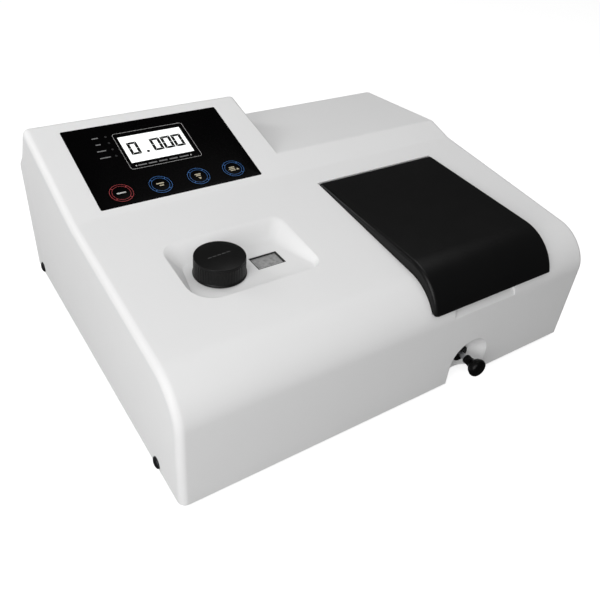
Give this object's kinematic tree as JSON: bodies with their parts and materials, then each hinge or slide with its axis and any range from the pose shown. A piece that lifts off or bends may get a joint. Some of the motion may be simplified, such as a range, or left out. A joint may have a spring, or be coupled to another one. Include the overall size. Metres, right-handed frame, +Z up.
{
  "type": "spectrophotometer",
  "caption": "Benchtop visible-light spectrophotometer with a hinged sample lid, pull-rod cuvette rack, wavelength knob and sloping keypad panel.",
  "frame": {"origin": "on the table under the middle of the object's box, pull knob and screw heads included", "axes": "+X to the operator's right, +Y from the front face to the back, +Z up"},
  "size_m": [0.4656, 0.4114, 0.1913],
  "materials": {
    "cover_plastic": "satin white moulded plastic, fine grain",
    "black_plastic": "satin black moulded plastic",
    "rubber": "black rubber",
    "black_screw": "black oxide steel",
    "steel": "bright turned steel",
    "sheet_steel": "grey powder-coated sheet",
    "cast_black": "black-finished casting",
    "brass": "turned brass",
    "overlay": "black polyester keypad overlay",
    "screen": "white backlit display",
    "key_red": "red-ringed black key",
    "key_blue": "blue-ringed black key",
    "indicator": "white indicator lamp",
    "clear_glass": "clear window",
    "mirror_glass": "front-surface mirror",
    "dial": "printed dial plastic",
    "board": "green circuit board",
    "transformer": "varnished core and winding",
    "ceramic": "white lamp ceramic"
  },
  "bodies": {
    "case": {"top_cover": "cover_plastic", "base_tray": "sheet_steel", "rear_panel": "sheet_steel", "power_inlet": "black_plastic", "switch_frame": "black_plastic", "data_port": "steel", "sample_chamber": "black_plastic", "rod_bush": "black_plastic", "shaft_bush": "brass", "dial_window": "clear_glass", "optical_base": "cast_black", "monochromator_housing": "cast_black", "monochromator_cover": "sheet_steel", "collimating_mirror": "mirror_glass", "exit_slit": "steel", "entrance_slit": "steel", "lamp_house": "sheet_steel", "lamp_holder": "ceramic", "halogen_lamp": "clear_glass", "condenser_lens": "clear_glass", "detector_housing": "cast_black", "panel_overlay": "overlay", "display_screen": "screen", "display_board": "board", "main_board": "board", "transformer": "transformer", "foot_front_left": "rubber", "side_screw_front_left": "black_screw", "foot_front_right": "rubber", "side_screw_front_right": "black_screw", "foot_rear_left": "rubber", "side_screw_rear_left": "black_screw", "foot_rear_right": "rubber", "side_screw_rear_right": "black_screw", "hinge_bracket_left": "sheet_steel", "hinge_pin_left": "steel", "rack_rail_left": "steel", "hinge_bracket_right": "sheet_steel", "hinge_pin_right": "steel", "rack_rail_right": "steel", "indicator_1": "indicator", "indicator_2": "indicator", "indicator_3": "indicator", "indicator_4": "indicator"},
    "lid": {"sample_lid": "black_plastic"},
    "rack": {"cuvette_rack": "cast_black", "rack_rod": "steel", "rod_knob": "black_plastic"},
    "knob": {"wavelength_knob": "black_plastic", "knob_shaft": "steel", "drive_pinion": "brass"},
    "dial": {"dial_gear": "brass", "dial_disc": "dial"},
    "grating_body": {"grating_table": "brass", "grating": "mirror_glass"},
    "mode_key": {"key_mode": "key_red"},
    "set_key": {"key_set": "key_blue"},
    "down_key": {"key_down": "key_blue"},
    "up_key": {"key_up": "key_blue"},
    "rocker": {"power_rocker": "black_plastic"}
  },
  "joints": [
    {"name": "lid_hinge", "type": "hinge", "parent": "case", "child": "lid", "pos_m": [0.0956, -0.00205, 0.1452], "axis": [-1, 0, 0], "range_deg": [0, 80]},
    {"name": "rack_slide", "type": "slide", "parent": "case", "child": "rack", "axis": [0, -1, 0], "range_m": [0, 0.06]},
    {"name": "wavelength_spin", "type": "hinge", "parent": "case", "child": "knob", "pos_m": [-0.1342, -0.07095, 0.138], "axis": [0, 0, 1], "range_deg": [-1080, 1080]},
    {"name": "dial_spin", "type": "hinge", "parent": "case", "child": "dial", "pos_m": [-0.08775, -0.03297, 0.12], "axis": [0, 0, 1], "range_deg": [-191, 191]},
    {"name": "grating_swing", "type": "hinge", "parent": "case", "child": "grating_body", "pos_m": [-0.11, -0.12185, 0.048], "axis": [0, 0, 1], "range_deg": [-10.1, 10.1]},
    {"name": "mode_key_press", "type": "slide", "parent": "case", "child": "mode_key", "axis": [0, 0.2873, -0.9578], "range_m": [0, 0.0005], "stiffness_N_per_m": 400},
    {"name": "set_key_press", "type": "slide", "parent": "case", "child": "set_key", "axis": [0, 0.2873, -0.9578], "range_m": [0, 0.0005], "stiffness_N_per_m": 400},
    {"name": "down_key_press", "type": "slide", "parent": "case", "child": "down_key", "axis": [0, 0.2873, -0.9578], "range_m": [0, 0.0005], "stiffness_N_per_m": 400},
    {"name": "up_key_press", "type": "slide", "parent": "case", "child": "up_key", "axis": [0, 0.2873, -0.9578], "range_m": [0, 0.0005], "stiffness_N_per_m": 400},
    {"name": "power_rocker_tilt", "type": "hinge", "parent": "case", "child": "rocker", "pos_m": [0.087, 0.19665, 0.04], "axis": [1, 0, 0], "range_deg": [0, 12]}
  ],
  "couplings": [
    {"joint": "dial_spin", "follows": "wavelength_spin", "ratio": -0.17647},
    {"joint": "grating_swing", "follows": "wavelength_spin", "ratio": 0.0092593}
  ]
}
